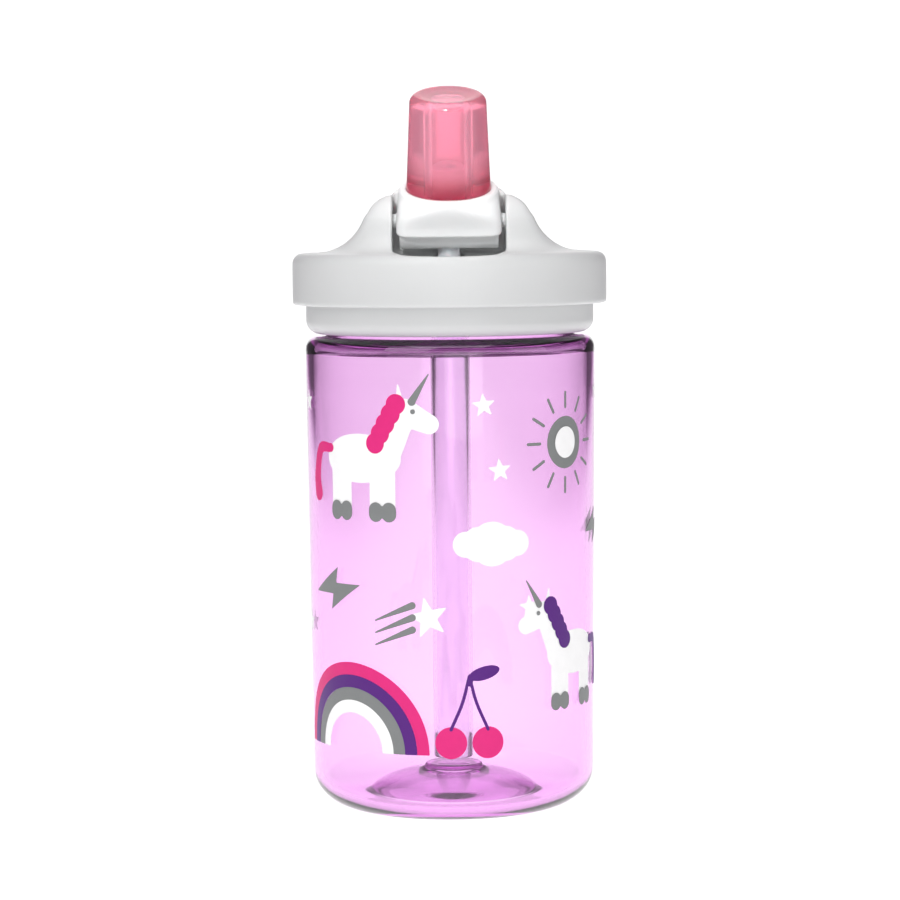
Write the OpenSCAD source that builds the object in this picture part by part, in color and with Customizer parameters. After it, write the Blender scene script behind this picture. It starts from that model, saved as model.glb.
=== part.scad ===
// Kids water bottle with a screw lid, a flip spout with a bite valve, and a straw.
// Millimetres. +Z is up, the front faces -Y, and the origin is the centre of the foot on the table.

/* [Bottle body] */
// Outer radius of the side wall just under the shoulder
body_top_r = 36.7; // [36:0.1:37]
// Outer radius of the side wall just above the base curve
body_low_r = 35.7; // [35:0.1:36.5]
// Height of the shoulder's top face
shoulder_z = 120; // [100:1:150]
// Thickness of the side wall
wall = 2; // [1.4:0.1:2.4]
// Height of the curve between the side wall and the foot
base_curve_h = 9.5; // [8:0.5:11]
// Width of the curve between the side wall and the foot
base_curve_w = 12.4; // [11:0.2:13]
// Height of the push-up in the middle of the base
push_up_h = 7.4; // [5:0.2:9]
// Radius of the round corner at the shoulder
shoulder_corner_r = 3.3; // [2.6:0.1:3.6]

/* [Neck and thread] */
// Outer radius of the neck
neck_r = 31; // [30.6:0.1:31]
// Inner radius of the neck
neck_in_r = 28.6; // [28:0.1:28.8]
// Height of the neck above the shoulder
neck_h = 13.4; // [13:0.1:13.4]
// Rise of the thread in one turn
thread_pitch = 5; // [5:0.1:5.4]
// Turn of the thread on the neck
thread_turn = 450; // [360:10:450]

/* [Lid] */
// Outer radius of the upper rim
rim_r = 39.75; // [39.2:0.05:40]
// Height of the upper rim
rim_h = 13; // [12.6:0.1:13.4]
// Outer radius of the lower skirt
skirt_r = 36.4; // [36.2:0.1:36.5]
// Gap between the shoulder and the skirt
skirt_gap = 0.6; // [0.4:0.1:0.8]
// Height of the deck's top above the shoulder
deck_h = 20.9; // [20.8:0.1:21.2]
// Half the width of the carry loop
loop_half_w = 9; // [7:0.5:10]

/* [Spout] */
// Height of the spout's pivot above the deck
pivot_h = 7.9; // [7.9:0.1:8.2]
// Half the width of the spout block
block_half_w = 13.3; // [13:0.1:13.4]
// Lean of the open spout towards the front, in degrees
open_lean = 18; // [16:0.5:18]
// Radius of the spout's pivot pins
pin_r = 1.8; // [1.5:0.1:2]
// Outer radius of the spout's collar
collar_r = 12.6; // [12.3:0.1:12.7]
// Distance from the pivot to the valve's tip
tip_h = 33.1; // [31:0.1:34]

/* [Straw] */
// Outer radius of the straw
straw_r = 5; // [4.8:0.1:5]
// Inner radius of the straw
straw_in_r = 4.1; // [3.6:0.1:4.2]

/* [Hidden] */
$fn = 96;
run_gap = 0.05;

lilac = [0.86, 0.62, 0.88, 0.5];
white = [0.93, 0.93, 0.94];
pink = [1.0, 0.56, 0.67];
clear = [0.95, 0.9, 0.97, 0.6];
silicone = [0.88, 0.88, 0.9];

// Heights that several parts share
neck_top_z = shoulder_z + neck_h;
skirt_z = shoulder_z + skirt_gap;
deck_z = shoulder_z + deck_h;
rim_z = deck_z - rim_h;
pivot_z = deck_z + pivot_h;

// Base of the body
foot_out_r = body_low_r - base_curve_w;
foot_in_r = foot_out_r - 1.7;
floor_t = 2.4;
nub_r = 7.4;
nub_z = push_up_h + 3.3;

// Screw thread: one helical ridge outside the neck and one inside the collar, half a pitch below it
thread_depth = 1.4;
ridge_w = 1.8;
crest_w = 0.9;
ridge_root = 0.4;
ridge_step = 10;
thread_z = shoulder_z + 4.6;
collar_bore_r = neck_r + thread_depth + 0.5;

// Collar: plate, dish and straw socket
plate_top_z = neck_top_z + 2.6;
plate_low_z = neck_top_z + 0.6;
groove_z = neck_top_z + 1.6;
dish_r = 26.5;
dish_low_z = shoulder_z + 10.6;
dish_top_z = dish_low_z + 1.8;
socket_low_z = shoulder_z + 2.5;
socket_wall = 1.8;
port_r = 1.9;
port_y = 4.3;
duct_z = dish_top_z + 0.6;
boss_h = 3;
spigot_r = 3.8;
spigot_top_z = plate_top_z + 2;
seal_r = 2.9;
vent_at = [-14, 9];
vent_stem_r = 1.4;

// Shell: slot between the ears, pocket and scoop in the deck, carry loop
slot_half_w = block_half_w + 1;
slot_back_y = 9.8;
pin_end_x = slot_half_w + 3.2;
scoop_half_w = 13.4;
scoop_deep = 3.9;
scoop_shallow = 0.3;
closed_lean = 85;
rim_top_r = 2.6;
loop_front_y = 10.6;
loop_back_y = 35.6;
loop_top = 24.6;

// Spout, in its own frame: pivot at the origin, axis along +Z
drum_r = 7;
drum_half_w = 12.5;
face_front = 9.8;
face_low_h = -1.5;
cup_floor_h = 7.0;
cup_top_h = 8.8;
nipple_h = 15;
valve_low_r = 10.7;
valve_top_r = 9.7;
valve_bore_r = 4.3;
channel_r = 1.9;
inlet_lean = asin(port_y / drum_r);

// Points along an arc of an ellipse, angles in degrees
function arc(x, y, rx, ry, from, to, n = 10) =
    [for (i = [0:n]) let (a = from + (to - from) * i / n) [x + rx * cos(a), y + ry * sin(a)]];

// A helical ridge with sloping flanks that fades out at both ends
module helix_ridge(root_r, crest_r, z, turn) {
    n = round(turn / ridge_step);
    fade = [for (i = [0:n]) min(1, (i + 0.4) / 3, (n - i + 0.4) / 3)];
    points = [for (i = [0:n])
        let (a = turn * i / n, mid = z + thread_pitch * a / 360, r = root_r + (crest_r - root_r) * fade[i])
        for (p = [[root_r, -ridge_w / 2], [r, -crest_w / 2], [r, crest_w / 2], [root_r, ridge_w / 2]])
            [p[0] * cos(a), p[0] * sin(a), mid + p[1]]];
    sides = [for (i = [0:n - 1], j = [0:3])
        let (k = (j + 1) % 4, a = 4 * i + j, b = 4 * i + k, c = 4 * i + 4 + k, d = 4 * i + 4 + j)
        each [[a, b, c], [a, c, d]]];
    ends = [[0, 3, 2], [0, 2, 1], [4 * n, 4 * n + 1, 4 * n + 2], [4 * n, 4 * n + 2, 4 * n + 3]];
    faces = concat(sides, ends);
    polyhedron(points, crest_r > root_r ? faces : [for (f = faces) [f[0], f[2], f[1]]], convexity = 6);
}

// A point on a rounded rectangle: half sizes a and c, centre y, and a higher power for squarer corners
function bulged(value, power) = sign(value) * pow(abs(value), 2 / power);
function rounded(a, c, y, power, angle) = [a * bulged(cos(angle), power), y + c * bulged(sin(angle), power)];

// A solid through rings of count points each, one ring after another, closed by its first and last rings
module stack(points, count, n) {
    sides = [for (j = [0:n - 2], i = [0:count - 1])
        let (k = (i + 1) % count, low = count * j, high = low + count)
        each [[low + i, high + k, low + k], [low + i, high + i, high + k]]];
    first = [for (i = [0:count - 1]) i];
    last = [for (i = [count - 1:-1:0]) count * (n - 1) + i];
    polyhedron(points, concat(sides, [first, last]), convexity = 4);
}

// A smooth solid through level outlines; each level is [height, half width, front, back, power]
module loft(levels, count = 48) {
    points = [for (v = levels, i = [0:count - 1])
        let (p = rounded(v[1], (v[3] + v[2]) / 2, (v[3] - v[2]) / 2, v[4], 360 * i / count))
        [p[0], p[1], v[0]]];
    stack(points, count, len(levels));
}

// Carries a shape from the spout's own frame to its open pose on the lid
module on_spout(lean = open_lean) {
    translate([0, 0, pivot_z]) rotate([lean, 0, 0]) children();
}

// Clear body: side wall, shoulder, neck and push-up base in one turned profile
module bottle_body() {
    outside = concat(
        [[0, push_up_h + 0.6], [4.6, push_up_h + 0.6], [5.2, push_up_h - 0.2]],
        arc(0, 0, foot_in_r, push_up_h, 72, 0),
        arc(foot_out_r, base_curve_h, base_curve_w, base_curve_h, -90, 0, 14),
        arc(body_top_r - shoulder_corner_r, shoulder_z - shoulder_corner_r,
            shoulder_corner_r, shoulder_corner_r, 0, 90),
        arc(neck_r + 0.8, shoulder_z + 0.8, 0.8, 0.8, 270, 180, 4),
        arc(neck_r - 0.6, neck_top_z - 0.6, 0.6, 0.6, 0, 90, 4));
    inner_r = body_top_r - wall;
    inside = concat(
        arc(neck_in_r + 0.5, neck_top_z - 0.5, 0.5, 0.5, 90, 180, 4),
        arc(neck_in_r + 2, shoulder_z - 0.4, 2, 2, 180, 270, 6),
        arc(inner_r - 2.2, shoulder_z - 4.6, 2.2, 2.2, 90, 0, 6),
        arc(foot_out_r, base_curve_h, base_curve_w - wall, base_curve_h - floor_t, 0, -90, 12),
        arc(0, floor_t, foot_in_r + 0.6, push_up_h - 0.1, 0, 66),
        arc(nub_r - 0.8, nub_z - 0.8, 0.8, 0.8, 0, 90, 4),
        [[0, nub_z]]);
    color(lilac) union() {
        rotate_extrude() polygon(concat(outside, inside));
        helix_ridge(neck_r - ridge_root, neck_r + thread_depth, thread_z, thread_turn);
    }
}

// Straw: plain tube from the socket down to just above the nub
module straw() {
    low_z = nub_z + 1.5;
    high_z = dish_low_z - 0.2;
    color(clear) translate([0, 0, low_z]) difference() {
        cylinder(h = high_z - low_z, r = straw_r);
        translate([0, 0, -1]) cylinder(h = high_z - low_z + 2, r = straw_in_r);
    }
}

// Soft ring between the neck's rim and the groove in the collar's plate
module lid_gasket() {
    color(silicone) translate([0, 0, neck_top_z + run_gap]) difference() {
        cylinder(h = groove_z - neck_top_z - 2 * run_gap, r = collar_bore_r - 0.6);
        translate([0, 0, -1]) cylinder(h = 4, r = neck_in_r - 0.4);
    }
}

// Boss on the dish around the duct that leads from the straw back to the spigot
module duct_boss(r) {
    translate([0, 0, dish_top_z - 1]) {
        cylinder(h = boss_h + 1, r = r);
        translate([-r, 0, 0]) cube([2 * r, port_y, boss_h + 1]);
    }
}

// Lower moulding of the lid: skirt, thread, plate with a dish, straw socket and spigot
module lid_collar() {
    fillet = skirt_r - collar_bore_r - 0.2;
    profile = concat(
        [[collar_bore_r, skirt_z]],
        arc(skirt_r - fillet, skirt_z + fillet, fillet, fillet, -90, 0),
        [[skirt_r, plate_top_z], [dish_r - 1.9, plate_top_z], [dish_r - 1.9, dish_top_z], [0, dish_top_z],
         [0, dish_low_z], [dish_r, dish_low_z], [dish_r, plate_low_z], [neck_in_r - 0.6, plate_low_z],
         [neck_in_r - 0.6, groove_z], [collar_bore_r - 0.4, groove_z], [collar_bore_r - 0.4, plate_low_z],
         [collar_bore_r, plate_low_z]]);
    socket_r = straw_r + run_gap;
    socket_h = dish_low_z - socket_low_z + 1;
    color(white) difference() {
        union() {
            rotate_extrude() polygon(profile);
            helix_ridge(collar_bore_r + ridge_root, collar_bore_r - thread_depth,
                        thread_z - thread_pitch / 2, 360);
            translate([0, 0, socket_low_z]) cylinder(h = socket_h, r = socket_r + socket_wall);
            translate([0, port_y, dish_top_z - 1]) cylinder(h = spigot_top_z - dish_top_z + 1, r = spigot_r);
            duct_boss(spigot_r);
        }
        translate([0, 0, socket_low_z - 1]) cylinder(h = socket_h, r = socket_r);
        translate([0, 0, dish_low_z - 1]) cylinder(h = duct_z - dish_low_z + 1, r = port_r);
        translate([0, -port_r, duct_z]) rotate([-90, 0, 0]) cylinder(h = port_y + port_r, r = port_r);
        translate([0, port_y, duct_z]) cylinder(h = 12, r = port_r);
        translate([0, port_y, spigot_top_z - 0.8]) cylinder(h = 12, r = seal_r + run_gap);
        translate([vent_at[0], vent_at[1], dish_low_z - 1]) {
            cylinder(h = 4, r = vent_stem_r);
            for (side = [-1, 1]) translate([2.5 * side, 0, 0]) cylinder(h = 4, r = 0.6);
        }
    }
}

// Umbrella valve that lets air in: a soft disc under the dish, held by a stem with a bulb above it
module vent_valve() {
    dish_t = dish_top_z - dish_low_z;
    profile = [[0, -1], [3.2, -0.8], [3.8, 0], [vent_stem_r, 0], [vent_stem_r, dish_t], [2, dish_t],
               [1.7, dish_t + 0.7], [0.9, dish_t + 1.4], [0, dish_t + 1.4]];
    color(silicone) translate([vent_at[0], vent_at[1], dish_low_z]) rotate_extrude($fn = 48) polygon(profile);
}

// Soft tube on the spigot whose end is hollowed to fit the back of the spout's drum
module spout_seal() {
    low_z = spigot_top_z - 0.8 + run_gap;
    color(silicone) difference() {
        translate([0, port_y, low_z]) cylinder(h = pivot_z - 4.2 - low_z, r = seal_r);
        translate([0, port_y, low_z - 1]) cylinder(h = 12, r = port_r);
        along_pivot(10, drum_r + run_gap);
    }
}

// Ring wall and deck of the lid's upper moulding, turned
module rim_shell() {
    in_r = skirt_r + 0.2;
    seat_r = in_r - 2.4;
    deck_low_z = deck_z - 2.5;
    edge_r = 0.6;
    rotate_extrude() polygon(concat(
        [[in_r, rim_z]],
        arc(rim_r - edge_r, rim_z + edge_r, edge_r, edge_r, -90, 0, 4),
        arc(rim_r - rim_top_r, deck_z - rim_top_r, rim_top_r, rim_top_r, 0, 90, 8),
        [[0, deck_z], [0, deck_low_z], [seat_r, deck_low_z], [seat_r, plate_top_z], [in_r, plate_top_z]]));
}

// Outlines of the ears as [height above the deck, distance from the middle]: a round top above a sweep
function swap(points) = [for (p = points) [p[1], p[0]]];
ear_side = swap(concat(arc(34.2, 13.5, 13.5, 13.5, 270, 198.5, 10), arc(13.4, 6.8, 7.9, 7.9, 18, 90, 10)));
ear_front = swap(concat(arc(12.2, 5.2, 5.2, 5.2, 270, 180, 6), arc(0, 7.7, 7, 7, 0, 90, 8)));
ear_back = swap(concat(arc(28, 11, 21.8, 11, 270, 180, 10), arc(0, 7.7, 7, 7, 29, 90, 8)));

// Height of each level of the ears, closer together near the deck and near the top
function ear_height(t) = 14.6 * (t - sin(360 * t) / 10);

// Levels of the tower behind the spout that joins the ears and the carry loop, with a rounded top
tower_levels = [[-1, 15.6, -1, 16, 4], [8, 15.6, -1, 16, 4], [12.6, 15.5, -1, 15.6, 4],
                [14.2, 14.9, -1.4, 15, 4], [15.6, 13.9, -2.2, 14.4, 4], [16.6, 12.3, -3.4, 13.6, 4],
                [17.2, 10.2, -4.8, 12.6, 4]];

// Ears: a bell-shaped hump and the tower with the spout's slot cut through it and blind holes for the pivot pins
module ears() {
    levels = [for (i = [0:16]) let (h = ear_height(i / 16))
        [h, lookup(h, ear_side), lookup(h, ear_front), lookup(h, ear_back), 2.7]];
    difference() {
        union() {
            intersection() {
                translate([0, 0, deck_z]) loft(concat([[-1, 34.2, 12.2, 28, 2.7]], levels));
                translate([0, 0, deck_z - 0.5]) cylinder(h = 30, r = rim_r - rim_top_r - 0.3);
            }
            translate([0, 0, deck_z]) loft(tower_levels);
        }
        translate([-slot_half_w, slot_back_y - 60, deck_z - 1.5]) cube([2 * slot_half_w, 60, 30]);
    }
}

// Side outline of the carry loop and of the finger hole through it, heights above the deck
function loop_outline() = concat(
    [[loop_front_y, -1]],
    arc(loop_front_y + 9.5, loop_top - 9.5, 9.5, 9.5, 180, 90, 8),
    arc(loop_front_y + 11, loop_top - 18, loop_back_y - loop_front_y - 11, 18, 84, 0, 10),
    [[loop_back_y, -1]]);
function finger_outline() = concat(
    arc(loop_front_y + 7, 2.2, 2, 2, 270, 180, 4),
    arc(loop_front_y + 11, loop_top - 11, 6, 6, 180, 90, 6),
    arc(loop_front_y + 12, loop_top - 18, loop_back_y - loop_front_y - 16.5, 13, 84, 0, 8),
    arc(loop_back_y - 6.5, 2.2, 2, 2, 0, -90, 4));
module carry_loop() {
    translate([-loop_half_w, 0, deck_z]) rotate([90, 0, 90]) linear_extrude(2 * loop_half_w) difference() {
        polygon(loop_outline());
        polygon(finger_outline());
    }
}

// Shallow trough in the deck for the folded valve: a stack of arcs, deep by the pivot and shallow at the rim
module scoop() {
    n_len = 8;
    n_arc = 12;
    far_y = -42;
    points = [for (i = [0:n_len])
        let (t = i / n_len, y = far_y * t, d = scoop_deep + (scoop_shallow - scoop_deep) * t,
             r = (scoop_half_w * scoop_half_w + d * d) / (2 * d), half = asin(scoop_half_w / r))
        each concat([for (j = [0:n_arc]) let (a = -half + 2 * half * j / n_arc)
                     [r * sin(a), y, deck_z - d + r * (1 - cos(a))]],
                    [[scoop_half_w, y, deck_z + 3], [-scoop_half_w, y, deck_z + 3]])];
    stack(points, n_arc + 3, n_len + 1);
}

// Cylinder about the pivot's axis
module along_pivot(half_w, r) {
    translate([-half_w, 0, pivot_z]) rotate([0, 90, 0]) cylinder(h = 2 * half_w, r = r);
}

// Pocket in the deck that the spout's block and cup swing down into
module pocket() {
    collar_reach = sqrt(collar_r * collar_r + cup_top_h * cup_top_h) + 0.5;
    block_w = 2 * block_half_w + 0.8;
    translate([-block_w / 2, -8.5, pivot_z - 11.5]) cube([block_w, 8.5, 8]);
    intersection() {
        on_spout(closed_lean) cylinder(h = cup_top_h + 8, r = collar_r + 0.8);
        along_pivot(20, collar_reach);
        translate([-20, -34, deck_z - 8]) cube([40, 30, 20]);
    }
}

// Upper moulding of the lid: rim, deck with its trough and pocket, ears and carry loop
module lid_shell() {
    color(white) difference() {
        union() {
            rim_shell();
            ears();
            carry_loop();
            translate([0, 0, deck_z - 7]) cylinder(h = 6, r = 21);
        }
        scoop();
        pocket();
        along_pivot(slot_half_w, face_front + 0.6);
        along_pivot(pin_end_x + 0.5, pin_r + run_gap);
        translate([0, port_y, deck_z - 8]) cylinder(h = 10, r = spigot_r + 0.3);
        duct_boss(spigot_r + 0.3);
    }
}

// Flip spout: drum and block that widen into a round cup, pivot pins, nipple and drinking channel
module spout_stem() {
    round_h = 8;
    flare = [for (i = [0:8]) let (t = i / 8, s = t * t * (3 - 2 * t))
        [round_h * t, block_half_w + (collar_r - block_half_w) * s,
         face_front + (collar_r - face_front) * s, drum_r + (collar_r - drum_r) * s, 7 - 5 * s]];
    levels = concat([[face_low_h, block_half_w - 0.5, face_front - 0.5, drum_r - 0.5, 7],
                     [face_low_h + 0.5, block_half_w, face_front, drum_r, 7]], flare,
                    [[cup_top_h - 0.5, collar_r, collar_r, collar_r, 2],
                     [cup_top_h, collar_r - 0.5, collar_r - 0.5, collar_r - 0.5, 2]]);
    color(white) on_spout() difference() {
        union() {
            loft(levels);
            translate([-drum_half_w, 0, 0]) rotate([0, 90, 0]) cylinder(h = 2 * drum_half_w, r = drum_r);
            translate([-pin_end_x, 0, 0]) rotate([0, 90, 0]) cylinder(h = 2 * pin_end_x, r = pin_r);
            cylinder(h = nipple_h, r = valve_bore_r - run_gap);
        }
        translate([0, 0, cup_floor_h]) difference() {
            cylinder(h = 3, r = valve_low_r + run_gap);
            cylinder(h = 9, r = valve_bore_r - run_gap, center = true);
        }
        cylinder(h = 30, r = channel_r);
        rotate([-open_lean + inlet_lean, 0, 0]) translate([0, 0, -10]) cylinder(h = 10.4, r = channel_r);
    }
}

// Bite valve: soft tapered cap with a wide bore and a slit in its end
module bite_valve() {
    edge_r = 2.2;
    profile = concat(
        [[valve_bore_r, cup_floor_h], [valve_low_r, cup_floor_h], [valve_low_r, cup_top_h]],
        arc(valve_top_r - edge_r, tip_h - edge_r, edge_r, edge_r, 0, 90, 6),
        [[5.5, tip_h - 0.3], [0, tip_h - 0.5], [0, tip_h - 2.4], [valve_bore_r, tip_h - 3.2]]);
    color(pink) on_spout() difference() {
        rotate_extrude() polygon(profile);
        translate([-3.5, -0.15, tip_h - 5]) cube([7, 0.3, 10]);
    }
}

bottle_body();
straw();
lid_gasket();
lid_collar();
vent_valve();
spout_seal();
lid_shell();
spout_stem();
bite_valve();
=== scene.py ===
"""Looks of a kids water bottle: clear tinted body with a printed scene, screw lid, flip spout and bite valve.

Lengths inside the shape functions are millimetres and become metres when a mesh is made. +Z is up and the
front faces -Y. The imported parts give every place; sizes that a user may change are properties.
"""

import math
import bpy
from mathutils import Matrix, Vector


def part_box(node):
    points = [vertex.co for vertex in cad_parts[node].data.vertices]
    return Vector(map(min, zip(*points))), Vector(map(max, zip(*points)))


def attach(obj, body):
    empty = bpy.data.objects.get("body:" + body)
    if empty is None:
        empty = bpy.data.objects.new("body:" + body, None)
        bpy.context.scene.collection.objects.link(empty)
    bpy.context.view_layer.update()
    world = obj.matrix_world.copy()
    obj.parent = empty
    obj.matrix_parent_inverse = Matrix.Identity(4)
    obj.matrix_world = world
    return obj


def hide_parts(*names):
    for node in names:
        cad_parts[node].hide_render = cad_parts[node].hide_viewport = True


bl_info = {
    "name": "Kids water bottle",
    "version": (1, 0, 0),
    "blender": (4, 5, 0),
    "location": "3D View > Sidebar > Bottle",
    "description": "Builds the finished pieces of a kids water bottle on its packed parts",
    "category": "Object",
}

import bmesh
import bpy
import numpy as np
from bpy.props import FloatProperty, FloatVectorProperty, IntProperty, PointerProperty
from mathutils import Matrix, Vector

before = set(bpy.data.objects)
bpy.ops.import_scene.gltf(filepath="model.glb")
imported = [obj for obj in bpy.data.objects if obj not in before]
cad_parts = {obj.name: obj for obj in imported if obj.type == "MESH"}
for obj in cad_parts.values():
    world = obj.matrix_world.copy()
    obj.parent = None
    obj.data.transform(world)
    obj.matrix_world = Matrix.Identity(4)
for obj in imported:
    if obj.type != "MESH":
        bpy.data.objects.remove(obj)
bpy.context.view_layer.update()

MM = 0.001
DECK_UP, PIVOT_UP = 140.9, 7.9
SPOUT_LEAN = math.radians(18)
SPOUT_AXIS = (0.0, -math.sin(SPOUT_LEAN), math.cos(SPOUT_LEAN))


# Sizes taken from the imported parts, in millimetres


def top_of(node):
    """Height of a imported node's highest point."""
    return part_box(node)[1][2] / MM


def radius_of(node):
    """Half the width of a packed round node."""
    low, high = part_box(node)
    return (high[0] - low[0]) / 2 / MM


# Properties


def length(name, value, low, high, text):
    """A length property in millimetres."""
    return FloatProperty(name=name, description=text, default=value, min=low, max=high, unit="NONE")


def tint(name, value, text):
    """A colour property in linear RGB."""
    return FloatVectorProperty(
        name=name, description=text, default=value, size=3, subtype="COLOR", min=0, max=1)


class BottleBodyLook(bpy.types.PropertyGroup):
    """Sizes and colours of the clear body and its straw."""

    wall: length("Wall", 2.0, 1.0, 3.0, "Thickness of the side wall in mm")
    base_w: length("Base curve width", 12.4, 8, 16, "Width of the curve above the foot in mm")
    base_h: length("Base curve height", 9.5, 6, 14, "Height of the curve above the foot in mm")
    push_up: length("Push-up", 7.4, 3, 10, "Height of the push-up in the base in mm")
    around: IntProperty(name="Columns", description="Columns around the body", default=256, min=64, max=360)
    glass: tint("Plastic", (1.0, 0.98, 1.0), "Colour at the plastic's faces")
    depth: tint("Depth colour", (0.83, 0.30, 0.83), "Colour that the plastic takes with depth")
    density: FloatProperty(name="Density", description="Deepening of colour, per metre", default=215, min=0)
    straw: tint("Straw", (0.95, 0.90, 0.97), "Colour of the straw")


class LidLook(bpy.types.PropertyGroup):
    """Sizes and colours of the white lid."""

    voxel: length("Voxel", 0.42, 0.3, 1.0, "Cell of the softened lid moulding in mm")
    fine_voxel: length("Fine voxel", 0.24, 0.15, 0.6, "Cell of the softened spout moulding in mm")
    white: tint("White plastic", (0.62, 0.63, 0.63), "Colour of the lid")
    # The spout is the same white plastic as the lid; its lighter colour is painted light on the spout's front
    # face.
    spout: tint("Spout white with painted light", (0.84, 0.85, 0.85), "Colour of the flip spout")
    soft_white: tint("Soft parts", (0.74, 0.74, 0.77), "Colour of the seals")


class ValveLook(bpy.types.PropertyGroup):
    """Colours of the bite valve."""

    pink: tint("Pink", (1.0, 0.50, 0.65), "Colour of the valve's silicone")
    # Darker colour for the lower part of the valve: partly the thicker silicone, partly painted shade where
    # it sits in the collar.
    root: tint("Root", (0.72, 0.10, 0.20), "Colour of the thick flange at the valve's root")
    depth: tint("Depth colour", (1.0, 0.25, 0.35), "Colour that the silicone takes with depth")
    density: FloatProperty(name="Density", description="Deepening of colour, per metre", default=45, min=0)


class PrintLook(bpy.types.PropertyGroup):
    """Inks of the printed scene."""

    cell: length("Cell", 0.3, 0.15, 0.8, "Cell of the printed shapes' grid in mm")
    ink: length("Ink", 0.03, 0.01, 0.1, "Thickness of one ink in mm")
    white: tint("White ink", (0.95, 0.95, 0.95), "Colour of the white ink")
    pink: tint("Pink ink", (0.74, 0.018, 0.20), "Colour of the pink ink")
    purple: tint("Purple ink", (0.09, 0.010, 0.20), "Colour of the purple ink")
    grey: tint("Grey ink", (0.215, 0.225, 0.225), "Colour of the grey ink")


class StudioLook(bpy.types.PropertyGroup):
    """Floor, lamps and camera."""

    sky: FloatProperty(name="Sky", description="Strength of the pale surroundings", default=0.25, min=0)
    key: FloatProperty(name="Key lamp", description="Power of the large front lamp in W", default=3.4, min=0)
    side: FloatProperty(name="Side lamp", description="Power of the side lamp in W", default=0.8, min=0)
    top: FloatProperty(name="Top lamp", description="Power of the lamp overhead in W", default=4.2, min=0)
    spout: FloatProperty(
        name="Spout lamp", description="Power of the narrow lamp on the spout in W", default=16.0, min=0)
    front: FloatProperty(name="Front lamp", description="Power of the low front lamp, W", default=1.5, min=0)
    back: FloatProperty(name="Back lamp", description="Power of the backdrop lamp in W", default=3.0, min=0)
    floor: tint("Floor", (0.62, 0.62, 0.62), "Colour of the middle of the floor")
    far: tint("Far floor", (0.40, 0.33, 0.40), "Colour of the floor and backdrop away from the middle")
    glow: FloatProperty(name="Glow", description="Light from the middle of the floor", default=0.86, min=0)
    lens: FloatProperty(name="Lens", description="Focal length in mm", default=134.0, min=20)
    distance: FloatProperty(name="Distance", description="Camera to bottle", default=0.85, unit="LENGTH")
    height: FloatProperty(name="Height", description="Height of the camera", default=0.153, unit="LENGTH")
    pitch: FloatProperty(name="Pitch", description="Tilt down", default=math.radians(4.2), subtype="ANGLE")
    roll: FloatProperty(name="Roll", description="Camera turn", default=math.radians(0.53), subtype="ANGLE")


# Meshes


def arc(x, y, rx, ry, start, end, n=12):
    """Points on an ellipse: centre plus radius times cosine and sine, at n + 1 even angles in degrees."""
    a = np.radians(np.linspace(start, end, n + 1))
    return np.stack([x + rx * np.cos(a), y + ry * np.sin(a)], 1)


def straight(x0, y0, x1, y1, n):
    """Points that divide a straight line into n equal steps, ends left out."""
    t = np.arange(1, n)[:, None] / n
    return np.array([[x0, y0]]) * (1 - t) + np.array([[x1, y1]]) * t


def finish_piece(name, mesh, body, material, smooth=True, sharp=None):
    bm = bmesh.new()
    bm.from_mesh(mesh)
    bmesh.ops.remove_doubles(bm, verts=bm.verts, dist=1e-7)
    bmesh.ops.dissolve_degenerate(bm, edges=bm.edges, dist=1e-8)
    if bm.calc_volume(signed=True) < 0:
        bmesh.ops.reverse_faces(bm, faces=bm.faces)
    bm.to_mesh(mesh)
    bm.free()
    mesh.shade_smooth() if smooth else mesh.shade_flat()
    if sharp is not None:
        mesh.set_sharp_from_angle(angle=math.radians(sharp))
    mesh.materials.clear()
    mesh.materials.append(material)
    piece = bpy.data.objects.new(name, mesh)
    bpy.context.scene.collection.objects.link(piece)
    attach(piece, body)
    return piece


def grid_faces(rows, columns, close_rows, close_columns):
    """Quads of a grid of points stored row by row; either way may close on itself."""
    r = np.arange(rows if close_rows else rows - 1)[:, None]
    c = np.arange(columns if close_columns else columns - 1)[None, :]
    r2, c2 = (r + 1) % rows, (c + 1) % columns
    corners = (r * columns + c, r * columns + c2, r2 * columns + c2, r2 * columns + c)
    quads = np.stack(np.broadcast_arrays(*corners), -1)
    return quads.reshape(-1, 4)


def turned(profile, columns, swell=None):
    """Points of a profile [radius, height] turned about Z: (r cos a, r sin a, z) for even angles a.

    swell(angle, radius, height) may add to the radius.
    """
    a = np.linspace(0, 2 * np.pi, columns, endpoint=False)[None, :]
    r, z = profile[:, :1], profile[:, 1:]
    radius = r + (0 if swell is None else swell(a, r, z))
    x, y, z = radius * np.cos(a), radius * np.sin(a), z + 0 * a
    return np.stack([x, y, z], -1).reshape(-1, 3)


def turned_piece(name, profile, columns, body, material, closed=True, swell=None, sharp=None):
    """A turned piece. A closed profile is a ring; an open one starts and ends on the axis."""
    points = turned(profile, columns, swell)
    faces = grid_faces(len(profile), columns, closed, True)
    mesh = bpy.data.meshes.new(name)
    mesh.from_pydata((points * MM).tolist(), [], faces.tolist())
    return finish_piece(name, mesh, body, material, sharp=sharp)


def merged_copy(node, name):
    """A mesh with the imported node's triangles joined at their corners."""
    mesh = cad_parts[node].data.copy()
    mesh.name = name
    if mesh.has_custom_normals:
        mesh.attributes.remove(mesh.attributes["custom_normal"])
    bm = bmesh.new()
    bm.from_mesh(mesh)
    bmesh.ops.remove_doubles(bm, verts=bm.verts, dist=1e-6)
    bmesh.ops.dissolve_degenerate(bm, edges=bm.edges, dist=1e-7)
    bm.to_mesh(mesh)
    bm.free()
    return mesh


def smoothed_piece(name, node, body, material, sharp=32):
    """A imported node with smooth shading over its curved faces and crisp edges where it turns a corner."""
    piece = finish_piece(name, merged_copy(node, name), body, material, sharp=sharp)
    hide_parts(node)
    return piece


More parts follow.
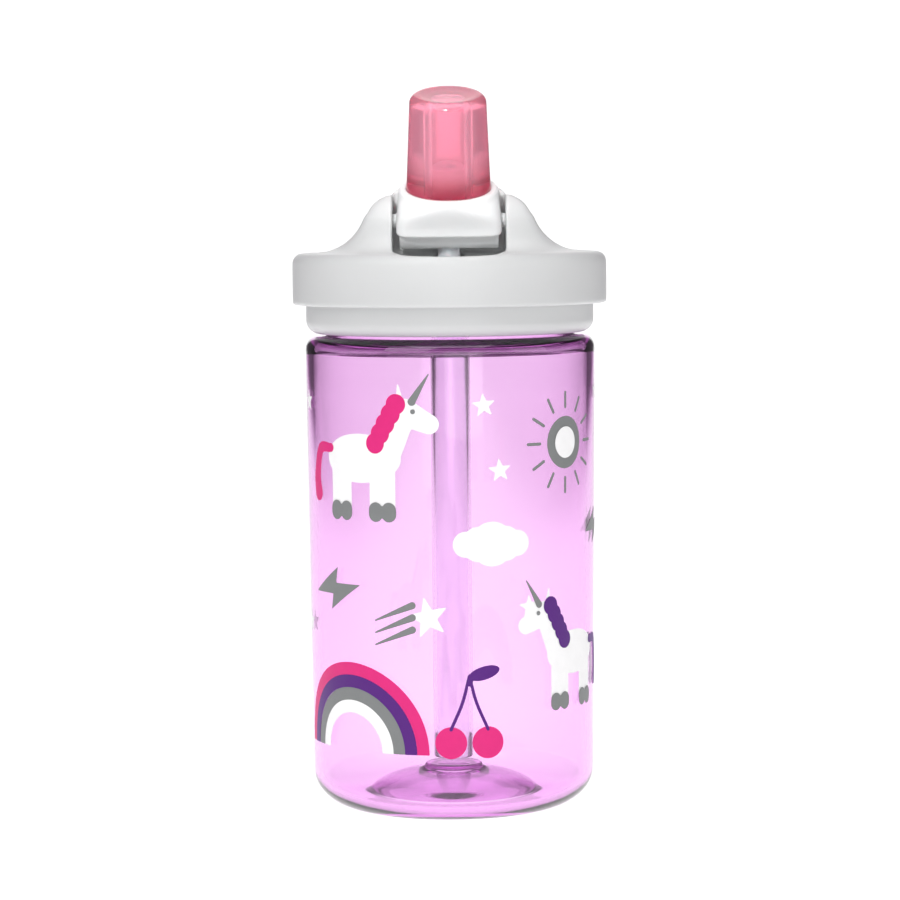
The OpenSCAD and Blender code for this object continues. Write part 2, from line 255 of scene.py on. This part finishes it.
def moulded_piece(name, node, body, material, voxel, passes, keep):
    """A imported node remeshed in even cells, relaxed for moulded radii, and thinned again."""
    mesh = merged_copy(node, name)
    source = bpy.data.objects.new(name + "_source", mesh)
    bpy.context.scene.collection.objects.link(source)
    remesh = source.modifiers.new("cells", "REMESH")
    remesh.mode, remesh.voxel_size, remesh.use_smooth_shade = "VOXEL", voxel * MM, True
    relax = source.modifiers.new("radii", "SMOOTH")
    relax.factor, relax.iterations = 0.5, passes
    thin = source.modifiers.new("thin", "DECIMATE")
    thin.ratio = keep
    done = bpy.data.meshes.new_from_object(source.evaluated_get(bpy.context.evaluated_depsgraph_get()))
    bpy.data.objects.remove(source)
    done.name = name
    piece = finish_piece(name, done, body, material, sharp=50)
    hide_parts(node)
    return piece


# Shader trees


class Wire:
    """One output of a node, with arithmetic that adds Math nodes."""

    def __init__(self, tree, socket):
        self.tree, self.socket = tree, socket

    def maths(self, operation, a, b):
        return self.tree.node("ShaderNodeMath", {"operation": operation}, {0: a, 1: b})

    def __add__(self, other):
        return self.maths("ADD", self, other)

    def __sub__(self, other):
        return self.maths("SUBTRACT", self, other)

    def __mul__(self, other):
        return self.maths("MULTIPLY", self, other)

    __radd__, __rmul__ = __add__, __mul__


class Tree:
    """The node tree of a material, made with one method for every node."""

    def __init__(self, name):
        self.material = bpy.data.materials.new(name)
        self.material.use_nodes = True
        self.tree = self.material.node_tree
        self.tree.nodes.clear()
        self.output = self.tree.nodes.new("ShaderNodeOutputMaterial")

    def node(self, kind, settings=None, inputs=None, output=0):
        """Adds a node: its settings first, then values or links for its sockets. Returns one output."""
        n = self.tree.nodes.new(kind)
        for key, value in (settings or {}).items():
            setattr(n, key, value)
        for key, value in (inputs or {}).items():
            if isinstance(value, Wire):
                self.tree.links.new(value.socket, n.inputs[key])
            elif isinstance(value, tuple) and len(value) == 3 and n.inputs[key].type == "RGBA":
                n.inputs[key].default_value = (*value, 1)
            else:
                n.inputs[key].default_value = value
        return Wire(self, n.outputs[output])

    def place(self, scale=(1, 1, 1)):
        """Object coordinates, stretched."""
        spot = self.node("ShaderNodeTexCoord", output="Object")
        return self.node("ShaderNodeMapping", None, {"Vector": spot, "Scale": scale})

    def noise(self, scale, detail=2.0, roughness=0.5, stretch=(1, 1, 1)):
        """Soft noise between 0 and 1; scale is in cells per metre."""
        values = {"Vector": self.place(stretch), "Scale": scale, "Detail": detail, "Roughness": roughness}
        return self.node("ShaderNodeTexNoise", None, values)

    def blend(self, share, a, b):
        """A colour between a and b."""
        n = self.tree.nodes.new("ShaderNodeMix")
        n.data_type = "RGBA"
        for key, value in ((6, a), (7, b)):
            n.inputs[key].default_value = (*value, 1)
        self.tree.links.new(share.socket, n.inputs[0])
        return Wire(self, n.outputs[2])

    def bump(self, height, strength, distance):
        """A normal raised by height times distance, in mm."""
        values = {"Height": height, "Strength": strength, "Distance": distance * MM}
        return self.node("ShaderNodeBump", None, values)

    def surface(self, **values):
        """A Principled shader to the output; names have _ for spaces."""
        inputs = {key.replace("_", " "): value for key, value in values.items()}
        shader = self.node("ShaderNodeBsdfPrincipled", None, inputs)
        self.tree.links.new(shader.socket, self.output.inputs["Surface"])
        return self

    def soak(self, colour, density):
        """A volume that takes colour from light with depth."""
        volume = self.node("ShaderNodeVolumeAbsorption", None, {"Color": colour, "Density": density})
        self.tree.links.new(volume.socket, self.output.inputs["Volume"])
        return self


def shade(colour, by):
    """A colour made lighter or darker by a factor, as three plain numbers."""
    return tuple(min(1.0, float(c) * by) for c in colour)


def clear_plastic(name, colour, depth, density, ripple=0.12):
    """Clear moulded plastic: tinted with depth, with faint mould ripples and fine handling haze."""
    t = Tree(name)
    waves = t.noise(55, 1.0, 0.4, (1, 1, 0.35))
    haze = t.noise(240, 3.0, 0.55)
    t.surface(
        Base_Color=tuple(colour),
        Transmission_Weight=1.0,
        IOR=1.5,
        Roughness=haze * 0.03 + 0.008,
        Normal=t.bump(waves, ripple, 0.25),
    )
    return t.soak(tuple(depth), density).material if density else t.material


def satin_plastic(name, colour):
    """Satin moulded plastic: fine spark-eroded grain, slow patches of tone and slightly uneven gloss."""
    t = Tree(name)
    grain = t.noise(5200, 2.0, 0.6)
    cloud = t.noise(60, 2.0, 0.5)
    t.surface(
        Base_Color=t.blend(cloud, shade(colour, 0.97), shade(colour, 1.02)),
        Roughness=grain * 0.12 + cloud * 0.06 + 0.30,
        IOR=1.46,
        Subsurface_Weight=0.12,
        Subsurface_Radius=(1.0, 0.9, 0.9),
        Subsurface_Scale=0.002,
        Normal=t.bump(grain, 0.18, 0.02),
    )
    return t.material


def clear_silicone(name, colour, root, depth, density):
    """Clear tinted silicone: satin faces, cloudy patches, and a darker colour towards the base, partly the
    thicker silicone there and partly painted shade where the valve sits in the collar.
    """
    t = Tree(name)
    skin = t.noise(5200, 2.0, 0.6)
    patch = t.noise(150, 3.0, 0.5)
    pivot = Vector((0, 0, (PIVOT_UP + DECK_UP) * MM))
    along = t.node(
        "ShaderNodeVectorMath", {"operation": "DOT_PRODUCT"}, {0: t.place(), 1: SPOUT_AXIS}, "Value")
    # The blend towards the darker colour near the base is painted shade inside the collar, and partly the
    # thicker silicone.
    reach = t.node("ShaderNodeMapRange", {"interpolation_type": "SMOOTHSTEP"}, {
        "Value": along + patch * 0.002 - pivot.dot(Vector(SPOUT_AXIS)),
        "From Min": 0.010, "From Max": 0.0165})
    t.surface(
        Base_Color=t.blend(reach, root, tuple(colour)),
        Roughness=skin * 0.05 + patch * 0.05 + 0.10,
        IOR=1.41,
        Transmission_Weight=0.78,
        Normal=t.bump(skin, 0.05, 0.01),
    )
    return t.soak(tuple(depth), density).material


def soft_silicone(name, colour):
    """Soft moulded silicone: dull bloom and faint patches."""
    t = Tree(name)
    bloom = t.noise(6000, 2.0, 0.6)
    patch = t.noise(90, 2.0, 0.5)
    t.surface(
        Base_Color=t.blend(patch, shade(colour, 0.95), shade(colour, 1.04)),
        Roughness=bloom * 0.10 + 0.24,
        IOR=1.41,
        Subsurface_Weight=0.25,
        Subsurface_Radius=(1.0, 0.5, 0.5),
        Subsurface_Scale=0.004,
        Normal=t.bump(bloom, 0.05, 0.01),
    )
    return t.material


def printed_ink(name, colour):
    """Screen-printed ink: a nearly even flat colour with the mesh's fine grain and a soft sheen."""
    t = Tree(name)
    grain = t.noise(7000, 2.0, 0.7)
    cover = t.noise(350, 3.0, 0.6)
    t.surface(
        Base_Color=t.blend(cover, shade(colour, 0.94), shade(colour, 1.05)),
        Roughness=grain * 0.15 + 0.36,
        Specular_IOR_Level=0.3,
        Normal=t.bump(grain, 0.12, 0.01),
    )
    return t.material


# Printed shapes: each is a distance field over the unrolled wall, negative inside, in mm


class Wall:
    """The unrolled wall: s runs round it from the front, to the right, and z is height."""

    radius = 36.2

    def __init__(self, s0, s1, z0, z1, cell):
        self.s, self.z = np.meshgrid(np.arange(s0, s1, cell), np.arange(z0, z1, cell))
        self.cell = cell

    def disc(self, s, z, r):
        """Distance to a circle: length from its centre less its radius."""
        return np.hypot(self.s - s, self.z - z) - r

    def oval(self, s, z, rs, rz, turn=0.0):
        """An ellipse: the stretched length from its centre, less one, times its smaller radius."""
        c, n = math.cos(math.radians(turn)), math.sin(math.radians(turn))
        u, v = (self.s - s) * c + (self.z - z) * n, (self.z - z) * c - (self.s - s) * n
        return (np.hypot(u / rs, v / rz) - 1) * min(rs, rz)

    def stroke(self, a, b, ra, rb=None):
        """A line with round ends: length to the nearest point of it, less a radius that may taper."""
        rb = ra if rb is None else rb
        d = np.subtract(b, a)
        t = np.clip(((self.s - a[0]) * d[0] + (self.z - a[1]) * d[1]) / (d @ d), 0, 1)
        return np.hypot(self.s - a[0] - t * d[0], self.z - a[1] - t * d[1]) - (ra + (rb - ra) * t)

    def curve(self, points, ra, rb=None):
        """Strokes through points, taken from a smooth curve, whose width may taper from end to end."""
        p = bend(points, 9)
        rb = ra if rb is None else rb
        widths = np.linspace(ra, rb, len(p))
        return np.minimum.reduce(
            [self.stroke(p[i], p[i + 1], widths[i], widths[i + 1]) for i in range(len(p) - 1)])

    def patch(self, points, soft=0.0):
        """A polygon: distance to its nearest side, negative inside by a crossing count, less a radius."""
        p = np.asarray(points, float)
        q = np.roll(p, -1, 0)
        distance = np.full(self.s.shape, 1e9)
        inside = np.zeros(self.s.shape, bool)
        for (ax, ay), (bx, by) in zip(p, q):
            dx, dy = bx - ax, by - ay
            t = np.clip(((self.s - ax) * dx + (self.z - ay) * dy) / (dx * dx + dy * dy), 0, 1)
            distance = np.minimum(distance, np.hypot(self.s - ax - t * dx, self.z - ay - t * dy))
            crosses = (ay > self.z) != (by > self.z)
            inside ^= crosses & (self.s < ax + (self.z - ay) * dx / (dy if dy else 1e-9))
        return np.where(inside, -distance, distance) - soft

    def star(self, s, z, r, turn=0.0, waist=0.42):
        """A star of five points: corners at r and at waist times r in turn."""
        a = np.radians(turn + 90 + 36 * np.arange(10))
        reach = np.where(np.arange(10) % 2, waist * r, r)
        return self.patch(np.stack([s + reach * np.cos(a), z + reach * np.sin(a)], 1), 0.12)

    def band(self, s, z, r_in, r_out, low):
        """An arch: between two circles and above a height."""
        d = np.hypot(self.s - s, self.z - z)
        return np.maximum(np.maximum(d - r_out, r_in - d), low - self.z)


def bend(points, steps):
    """Points on a smooth curve through points: cubic pieces whose slopes come from the neighbours."""
    p = np.asarray(points, float)
    ends = np.vstack([2 * p[0] - p[1], p, 2 * p[-1] - p[-2]])
    t = (np.arange(steps) / steps)[None, :, None]
    a, b, c, d = (v[:, None] for v in (ends[:-3], ends[1:-2], ends[2:-1], ends[3:]))
    q = 0.5 * (2 * b + (c - a) * t + (2 * a - 5 * b + 4 * c - d) * t**2 + (3 * b - a - 3 * c + d) * t**3)
    return np.vstack([q.reshape(-1, 2), p[-1:]])


def wall_radius(z):
    """Outer radius of the side wall at a height: it widens evenly from the base curve to the shoulder."""
    low, high = 9.5, 116.7
    return 35.7 + (np.clip(z, low, high) - low) / (high - low)


def ink_piece(name, wall, fields, level, material, thick):
    """One ink as thin closed slabs on the wall.

    The fields' smallest value says where ink is. Grid cells with a corner inside are kept, and their outside
    corners move back along the field's slope onto its zero line, so edges are smooth. The sheet is then
    rolled onto the wall: (R sin, -R cos, z) of s over the wall's radius.
    """
    field = np.minimum.reduce(fields)
    slope_z, slope_s = np.gradient(field, wall.cell)
    steep = np.maximum(slope_s**2 + slope_z**2, 0.25)
    push = np.clip(field, -wall.cell, 1.5 * wall.cell)
    near = field > -0.35 * wall.cell
    s = np.where(near, wall.s - push * slope_s / steep, wall.s).ravel()
    z = np.where(near, wall.z - push * slope_z / steep, wall.z).ravel()
    quads = grid_faces(*field.shape, False, False)
    keep = quads[(field.ravel()[quads] < -0.05 * wall.cell).any(1)]
    used, index = np.unique(keep, return_inverse=True)
    s, z, index = s[used], z[used], index.reshape(-1, 4)
    n = len(used)
    sides = np.concatenate([index[:, [i, (i + 1) % 4]] for i in range(4)])
    low_high = np.sort(sides, 1)
    _, first, count = np.unique(low_high[:, 0] * n + low_high[:, 1], return_index=True, return_counts=True)
    rim = sides[first[count == 1]]
    faces = np.concatenate(
        [index, index[:, ::-1] + n, np.stack([rim[:, 1], rim[:, 0], rim[:, 0] + n, rim[:, 1] + n], 1)]
    )
    a = s / wall.radius
    layers = [wall_radius(z) + h for h in (level + thick, level)]
    points = np.concatenate([np.stack([r * np.sin(a), -r * np.cos(a), z], 1) for r in layers])
    mesh = bpy.data.meshes.new(name)
    mesh.from_pydata((points * MM).tolist(), [], faces.tolist())
    mesh.materials.append(material)
    bm = bmesh.new()
    bm.from_mesh(mesh)
    if bm.calc_volume(signed=True) < 0:
        bmesh.ops.reverse_faces(bm, faces=bm.faces)
    bm.to_mesh(mesh)
    bm.free()
    mesh.shade_flat()
    piece = bpy.data.objects.new(name, mesh)
    bpy.context.scene.collection.objects.link(piece)
    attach(piece, "bottle")
    return piece


# The printed pattern. Each motif adds fields to the inks of a sheet; s and z are its place and size
# its scale.


def placed(s, z, size, faces=1):
    """Gives a function that turns a motif's own x and y into a place on the wall."""
    return lambda x, y: (s + faces * size * x, z + size * y)


def sparks(w, spots):
    """Small white stars."""
    return {"white": [w.star(s, z, 2.8, 5) for s, z in spots]}


def shooting_star(w, s, z, size):
    """A white star with three grey strokes that taper away from it."""
    p = placed(s, z, size)
    return {"white": [w.star(s, z, 5 * size, 12)],
            "grey": [w.stroke(p(-4, y), p(-14, y - 4), 0.9 * size, 0.2) for y in (-3, 0, 3)]}


def cloud(w, s, z, size):
    """A white row of discs, largest in the middle."""
    return {"white": [w.disc(s + size * x, z, size * (5 - 0.35 * abs(x))) for x in (-6, -3, 0, 3, 6)]}


def bolt(w, s, z, size):
    """A grey zigzag that looks the same upside down."""
    p = placed(s, z, size)
    half = [p(-7, -1), p(1, 4), p(0.4, 1)]
    return {"grey": [w.patch(half + [(2 * s - a, 2 * z - b) for a, b in half], 0.1)]}


def cherries(w, s, z, size):
    """Two pink discs on bent purple stems with one oval leaf."""
    p = placed(s, z, size)
    stems = [w.curve([p(0, 16), p(1.6 * side, 10), p(4.2 * side, 4)], 0.4) for side in (-1, 1)]
    return {"pink": [w.disc(*p(4.2 * side, 1), 3.6 * size) for side in (-1, 1)],
            "purple": stems + [w.oval(*p(3.4, 16.6), 3.6 * size, 1.5 * size, 15)]}


def rainbow(w, s, z, r):
    """Four arches of equal width, one in each ink."""
    step = r / 7
    return {ink: [w.band(s, z, r - step * (turn + 1), r - step * turn, z)]
            for turn, ink in enumerate(("pink", "purple", "grey", "white"))}


def sun(w, s, z, r):
    """A grey disc with a white middle and twelve even rays."""
    rays = []
    for turn in range(0, 360, 30):
        d = np.array([math.cos(math.radians(turn)), math.sin(math.radians(turn))])
        rays.append(w.stroke(np.array([s, z]) + 1.35 * r * d, np.array([s, z]) + 1.9 * r * d, 0.4))
    return {"grey": [w.disc(s, z, r)] + rays, "top": [w.disc(s, z, 0.6 * r)]}


def pony(w, s, z, size, ink, faces):
    """A plain horned pony of an oval, strokes and discs; faces is 1 to the right, -1 to the left."""
    p = placed(s, z, size, faces)
    feet = (-7.5, -4.2, 4.2, 7.5)
    legs = [w.stroke(p(x, 11), p(x, 2.6), 1.6 * size) for x in feet]
    body = w.oval(*p(0, 13.5), 10.5 * size, 5.5 * size)
    neck = w.stroke(p(7, 15), p(11, 23), 3.6 * size, 2.8 * size)
    head = w.stroke(p(11.5, 24), p(17, 21.4), 3.1 * size, 2.2 * size)
    ear = w.stroke(p(10.4, 26), p(10, 30), size, 0.2)
    horn = w.stroke(p(13.2, 26.4), p(17, 32.5), 0.9 * size, 0.15)
    eye = w.disc(*p(13.4, 24.2), 0.55 * size)
    mane = [w.disc(*p(4.2 + 1.3 * i, 17 + 2.2 * i), 2.3 * size) for i in range(5)]
    tail = w.curve([p(-9.5, 15.5), p(-14, 15), p(-16, 9), p(-15.5, 5)], size, 1.9 * size)
    hooves = [w.stroke(p(x, 2), p(x, 1.2), 1.8 * size) for x in feet]
    return {"white": legs + [body, neck, head, ear], ink: mane + [tail], "over": hooves + [horn, eye]}


def gather(*motifs):
    """Joins the inks of several motifs."""
    inks = {}
    for motif in motifs:
        for ink, fields in motif.items():
            inks.setdefault(ink, []).extend(fields)
    return inks


# Operators


class BOTTLE_OT_clear_body(bpy.types.Operator):
    """Clear body with its push-up base, shoulder, neck and screw thread"""

    bl_idname = "bottle.clear_body"
    bl_label = "Clear body"

    def execute(self, context):
        v = context.scene.bottle_body
        low_r, top_r, shoulder, neck, bore = 35.7, 36.7, 120.0, 31.0, 28.6
        top, foot, inner = top_of("bottle_body"), low_r - v.base_w, top_r - v.wall
        foot_in, corner, floor = foot - 1.7, 3.3, 2.4
        profile = np.concatenate([
            [[0, v.push_up + 0.6]], [[4.2, v.push_up + 0.6]],
            arc(4.4, v.push_up + 0.2, 0.4, 0.4, 90, 0, 4), [[5.2, v.push_up - 0.2]],
            arc(0, 0, foot_in, v.push_up, 72, 4, 24),
            arc(foot - 0.6, 0.55, 1.2, 0.55, 205, 270, 6),
            arc(foot, v.base_h, v.base_w, v.base_h, -86, 0, 36),
            straight(low_r, v.base_h, top_r, shoulder - corner, 24),
            arc(top_r - corner, shoulder - corner, corner, corner, 0, 90, 20),
            arc(neck + 0.8, shoulder + 0.8, 0.8, 0.8, 270, 180, 8),
            straight(neck, shoulder + 0.8, neck, top - 0.6, 70),
            arc(neck - 0.6, top - 0.6, 0.6, 0.6, 0, 90, 8),
            arc(bore + 0.5, top - 0.5, 0.5, 0.5, 90, 180, 8),
            arc(bore + 2, shoulder - 0.4, 2, 2, 180, 270, 12),
            arc(inner - 2.2, shoulder - 4.6, 2.2, 2.2, 90, 0, 14),
            straight(inner, shoulder - 4.6, low_r - v.wall, v.base_h, 12),
            arc(foot, v.base_h, v.base_w - v.wall, v.base_h - floor, 0, -90, 30),
            arc(0, floor, foot_in + 0.6, v.push_up - 0.1, 0, 66, 24),
            arc(6.6, 9.9, 0.8, 0.8, 0, 90, 8), [[0, 10.7]],
        ])

        def thread(a, r, z):
            """A ridge whose middle climbs 5 mm a turn for 450 degrees: 1.4 mm high, with sloping flanks."""
            high = np.zeros(np.broadcast(a, z).shape)
            for turn in (0, 2 * np.pi):
                along = a + turn
                mid = 124.6 + 5.0 * along / (2 * np.pi)
                flank = np.clip((0.9 - abs(z - mid)) / 0.45, 0, 1)
                fade = np.clip(np.minimum(along + 0.1, np.radians(450) - along) / 0.5, 0, 1)
                high = np.maximum(high, 1.4 * flank * fade)
            return np.where((r > neck - 0.01) & (r < neck + 0.01), high, 0)

        clear = clear_plastic("clear_tinted_plastic", v.glass, v.depth, v.density)
        body = turned_piece(
            "clear_bottle_body", profile, v.around, "bottle", clear, False, thread)
        body.visible_shadow = False
        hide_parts("bottle_body")
        return {"FINISHED"}


class BOTTLE_OT_straw(bpy.types.Operator):
    """Straw with rounded ends"""

    bl_idname = "bottle.straw"
    bl_label = "Straw"

    def execute(self, context):
        low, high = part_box("straw")
        z0, z1, out = low[2] / MM, high[2] / MM, radius_of("straw")
        bore, mid = out - 0.9, out - 0.45
        profile = np.concatenate([
            arc(mid, z0 + 0.45, 0.45, 0.45, 180, 360, 8), straight(out, z0 + 0.45, out, z1 - 0.45, 12),
            arc(mid, z1 - 0.45, 0.45, 0.45, 0, 180, 8), straight(bore, z1 - 0.45, bore, z0 + 0.45, 12),
        ])
        tint_of_straw = context.scene.bottle_body.straw
        plastic = clear_plastic("straw_plastic", tint_of_straw, tint_of_straw, 0.0, 0.2)
        straw = turned_piece("drinking_straw", profile, 96, "straw", plastic)
        straw.visible_shadow = False
        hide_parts("straw")
        return {"FINISHED"}


class BOTTLE_OT_print(bpy.types.Operator):
    """Printed pattern of plain ponies, rainbow, sun, cloud, stars and cherries in flat inks"""

    bl_idname = "bottle.printed_scene"
    bl_label = "Printed scene"

    def execute(self, context):
        v = context.scene.bottle_print
        w = Wall(-78, 84, 14, 112, v.cell)
        inks = gather(
            pony(w, -24, 76, 1.1, "pink", 1), pony(w, 36, 28, 1.0, "purple", -1), sun(w, 32, 94, 6.5),
            cloud(w, 10, 70, 1.1), rainbow(w, -28, 18, 22), cherries(w, 4, 20, 1.1), bolt(w, -34, 58, 1.3),
            bolt(w, 50, 72, 1.1), shooting_star(w, -6, 52, 1.0),
            sparks(w, [(-48, 104), (8, 104), (12, 88), (-50, 48), (20, 54), (52, 106)]),
        )
        palette = {
            "white": printed_ink("ink_white", v.white), "pink": printed_ink("ink_pink", v.pink),
            "purple": printed_ink("ink_purple", v.purple), "grey": printed_ink("ink_grey", v.grey),
        }
        palette["over"], palette["top"] = palette["grey"], palette["white"]
        for order, ink in enumerate(("white", "grey", "pink", "purple", "over", "top")):
            level = 0.012 + order * (v.ink + 0.006)
            ink_piece("print_" + ink, w, inks[ink], level, palette[ink], v.ink)
        return {"FINISHED"}


class BOTTLE_OT_lid(bpy.types.Operator):
    """Lid: softened upper moulding and lower collar"""

    bl_idname = "bottle.lid"
    bl_label = "Lid"

    def execute(self, context):
        v = context.scene.bottle_lid
        white = satin_plastic("white_satin_plastic", v.white)
        moulded_piece("lid_upper_moulding", "lid_shell", "lid", white, v.voxel, 3, 0.45)
        smoothed_piece("lid_lower_collar", "lid_collar", "lid", white)
        return {"FINISHED"}


class BOTTLE_OT_seals(bpy.types.Operator):
    """Gasket, vent valve and the seal under the spout"""

    bl_idname = "bottle.seals"
    bl_label = "Seals"

    def execute(self, context):
        soft = soft_silicone("pale_silicone", context.scene.bottle_lid.soft_white)
        smoothed_piece("neck_gasket", "lid_gasket", "lid_seal", soft)
        smoothed_piece("vent_umbrella", "vent_valve", "lid", soft)
        smoothed_piece("spout_lip_seal", "spout_seal", "lid", soft)
        return {"FINISHED"}


class BOTTLE_OT_spout(bpy.types.Operator):
    """Flip spout: drum, block, cup and pins in white plastic"""

    bl_idname = "bottle.spout"
    bl_label = "Spout"

    def execute(self, context):
        v = context.scene.bottle_lid
        # Lighter than the lid's white: painted light on the spout's front face.
        white = satin_plastic("spout_plastic_painted_light", v.spout)
        moulded_piece("flip_spout", "spout_stem", "spout", white, v.fine_voxel, 3, 0.5)
        return {"FINISHED"}


class BOTTLE_OT_valve(bpy.types.Operator):
    """Bite valve in clear pink silicone"""

    bl_idname = "bottle.valve"
    bl_label = "Bite valve"

    def execute(self, context):
        v = context.scene.bottle_valve
        pink = clear_silicone("pink_silicone", v.pink, v.root, v.depth, v.density)
        smoothed_piece("pink_bite_valve", "bite_valve", "spout", pink, 40)
        return {"FINISHED"}


class BOTTLE_OT_studio(bpy.types.Operator):
    """Pale floor that sweeps up behind, soft lamps and the camera"""

    bl_idname = "bottle.studio"
    bl_label = "Studio"

    def execute(self, context):
        v = context.scene.bottle_studio
        scene = context.scene
        near, bend_start, bend_r, top = -4000, 1800, 900, 4000
        curve = arc(bend_start, bend_r, bend_r, bend_r, -90, 0, 32)
        side = np.concatenate([[[near, 0]], [[bend_start, 0]], curve, [[bend_start + bend_r, top]]])
        spread = np.array([-5000.0, 5000.0])
        points = np.stack([np.broadcast_to(spread[None, :], (len(side), 2)), np.repeat(side[:, :1], 2, 1),
                           np.repeat(side[:, 1:], 2, 1)], -1).reshape(-1, 3)
        mesh = bpy.data.meshes.new("pale_sweep")
        mesh.from_pydata((points * MM).tolist(), [], grid_faces(len(side), 2, False, False).tolist())
        mesh.shade_smooth()
        paper = Tree("pale_paper")
        fibre = paper.noise(800, 3.0, 0.6)
        across = paper.node("ShaderNodeSeparateXYZ", None, {0: paper.place()}, 0)
        middle = paper.node("ShaderNodeMapRange", {"interpolation_type": "SMOOTHSTEP"}, {
            "Value": paper.node("ShaderNodeMath", {"operation": "ABSOLUTE"}, {0: across}),
            "From Min": 0.5, "From Max": 0.95, "To Min": 1.0, "To Max": 0.0})
        paper.surface(
            Base_Color=paper.blend(middle, v.far, v.floor),
            Roughness=fibre * 0.1 + 0.85,
            Emission_Color=paper.blend(middle, (0, 0, 0), (1, 1, 1)),
            Emission_Strength=v.glow,
        )
        mesh.materials.append(paper.material)
        sweep = bpy.data.objects.new("pale_sweep", mesh)
        scene.collection.objects.link(sweep)

        world = bpy.data.worlds.new("studio_air")
        world.use_nodes = True
        air = world.node_tree.nodes["Background"]
        air.inputs["Color"].default_value = (1, 0.97, 1, 1)
        air.inputs["Strength"].default_value = v.sky
        scene.world = world
        for name, power, size, spot, turn in (
            ("key_lamp", v.key, 0.7, (-0.55, -0.75, 0.75), (48, 0, -36)),
            ("side_lamp", v.side, 0.5, (0.8, -0.35, 0.4), (75, 0, 66)),
            ("top_lamp", v.top, 0.8, (0.0, -0.3, 0.95), (18, 0, 0)),
            ("front_lamp", v.front, 0.6, (0.2, -1.1, 0.1), (88, 0, 10)),
            ("back_lamp", v.back, 1.6, (0.0, 0.5, 1.5), (55, 0, 0)),
        ):
            lamp = bpy.data.lights.new(name, "AREA")
            lamp.energy, lamp.size, lamp.spread = power, size, math.radians(180)
            holder = bpy.data.objects.new(name, lamp)
            pan, tilt = math.radians(turn[2]), math.radians(turn[0])
            holder.matrix_world = Matrix.Translation(spot) @ (
                Matrix.Rotation(pan, 4, "Z") @ Matrix.Rotation(tilt, 4, "X"))
            scene.collection.objects.link(holder)
        beam = bpy.data.lights.new("spout_lamp", "SPOT")
        beam.energy, beam.shadow_soft_size = v.spout, 0.03
        beam.spot_size, beam.spot_blend = math.radians(6.5), 0.7
        start, aim = Vector((-0.08, -0.55, 0.33)), Vector((0, 0, 0.17))
        holder = bpy.data.objects.new("spout_lamp", beam)
        turn = (aim - start).to_track_quat("-Z", "Y").to_matrix().to_4x4()
        holder.matrix_world = Matrix.Translation(start) @ turn
        scene.collection.objects.link(holder)
        camera = bpy.data.cameras.new("camera")
        camera.lens, camera.sensor_width, camera.clip_start = v.lens, 36, 0.01
        holder = bpy.data.objects.new("camera", camera)
        holder.matrix_world = Matrix.Translation((-0.00025, -v.distance, v.height)) @ (
            Matrix.Rotation(math.radians(90) - v.pitch, 4, "X") @ Matrix.Rotation(-v.roll, 4, "Z"))
        scene.collection.objects.link(holder)
        scene.camera = holder
        scene.view_settings.view_transform = "Standard"
        return {"FINISHED"}


# Panel and registration

LOOKS = {
    "bottle_body": BottleBodyLook,
    "bottle_lid": LidLook,
    "bottle_valve": ValveLook,
    "bottle_print": PrintLook,
    "bottle_studio": StudioLook,
}
STEPS = (
    BOTTLE_OT_studio,
    BOTTLE_OT_clear_body,
    BOTTLE_OT_print,
    BOTTLE_OT_straw,
    BOTTLE_OT_lid,
    BOTTLE_OT_seals,
    BOTTLE_OT_spout,
    BOTTLE_OT_valve,
)


class VIEW3D_PT_bottle(bpy.types.Panel):
    """Lists the sizes, the colours and the steps of the bottle"""

    bl_label = "Kids water bottle"
    bl_space_type = "VIEW_3D"
    bl_region_type = "UI"
    bl_category = "Bottle"

    def draw(self, context):
        for step in STEPS:
            self.layout.operator(step.bl_idname)
        for name, group in LOOKS.items():
            box = self.layout.box()
            for key in group.__annotations__:
                box.prop(getattr(context.scene, name), key)


def register():
    for group in LOOKS.values():
        bpy.utils.register_class(group)
    for step in STEPS:
        bpy.utils.register_class(step)
    bpy.utils.register_class(VIEW3D_PT_bottle)
    for name, group in LOOKS.items():
        setattr(bpy.types.Scene, name, PointerProperty(type=group))


def unregister():
    for name in LOOKS:
        delattr(bpy.types.Scene, name)
    bpy.utils.unregister_class(VIEW3D_PT_bottle)
    for step in reversed(STEPS):
        bpy.utils.unregister_class(step)
    for group in reversed(LOOKS.values()):
        bpy.utils.unregister_class(group)


def main():
    register()
    bpy.ops.bottle.studio()
    bpy.ops.bottle.clear_body()
    bpy.ops.bottle.printed_scene()
    bpy.ops.bottle.straw()
    bpy.ops.bottle.lid()
    bpy.ops.bottle.seals()
    bpy.ops.bottle.spout()
    bpy.ops.bottle.valve()


if __name__ == "__main__":
    main()
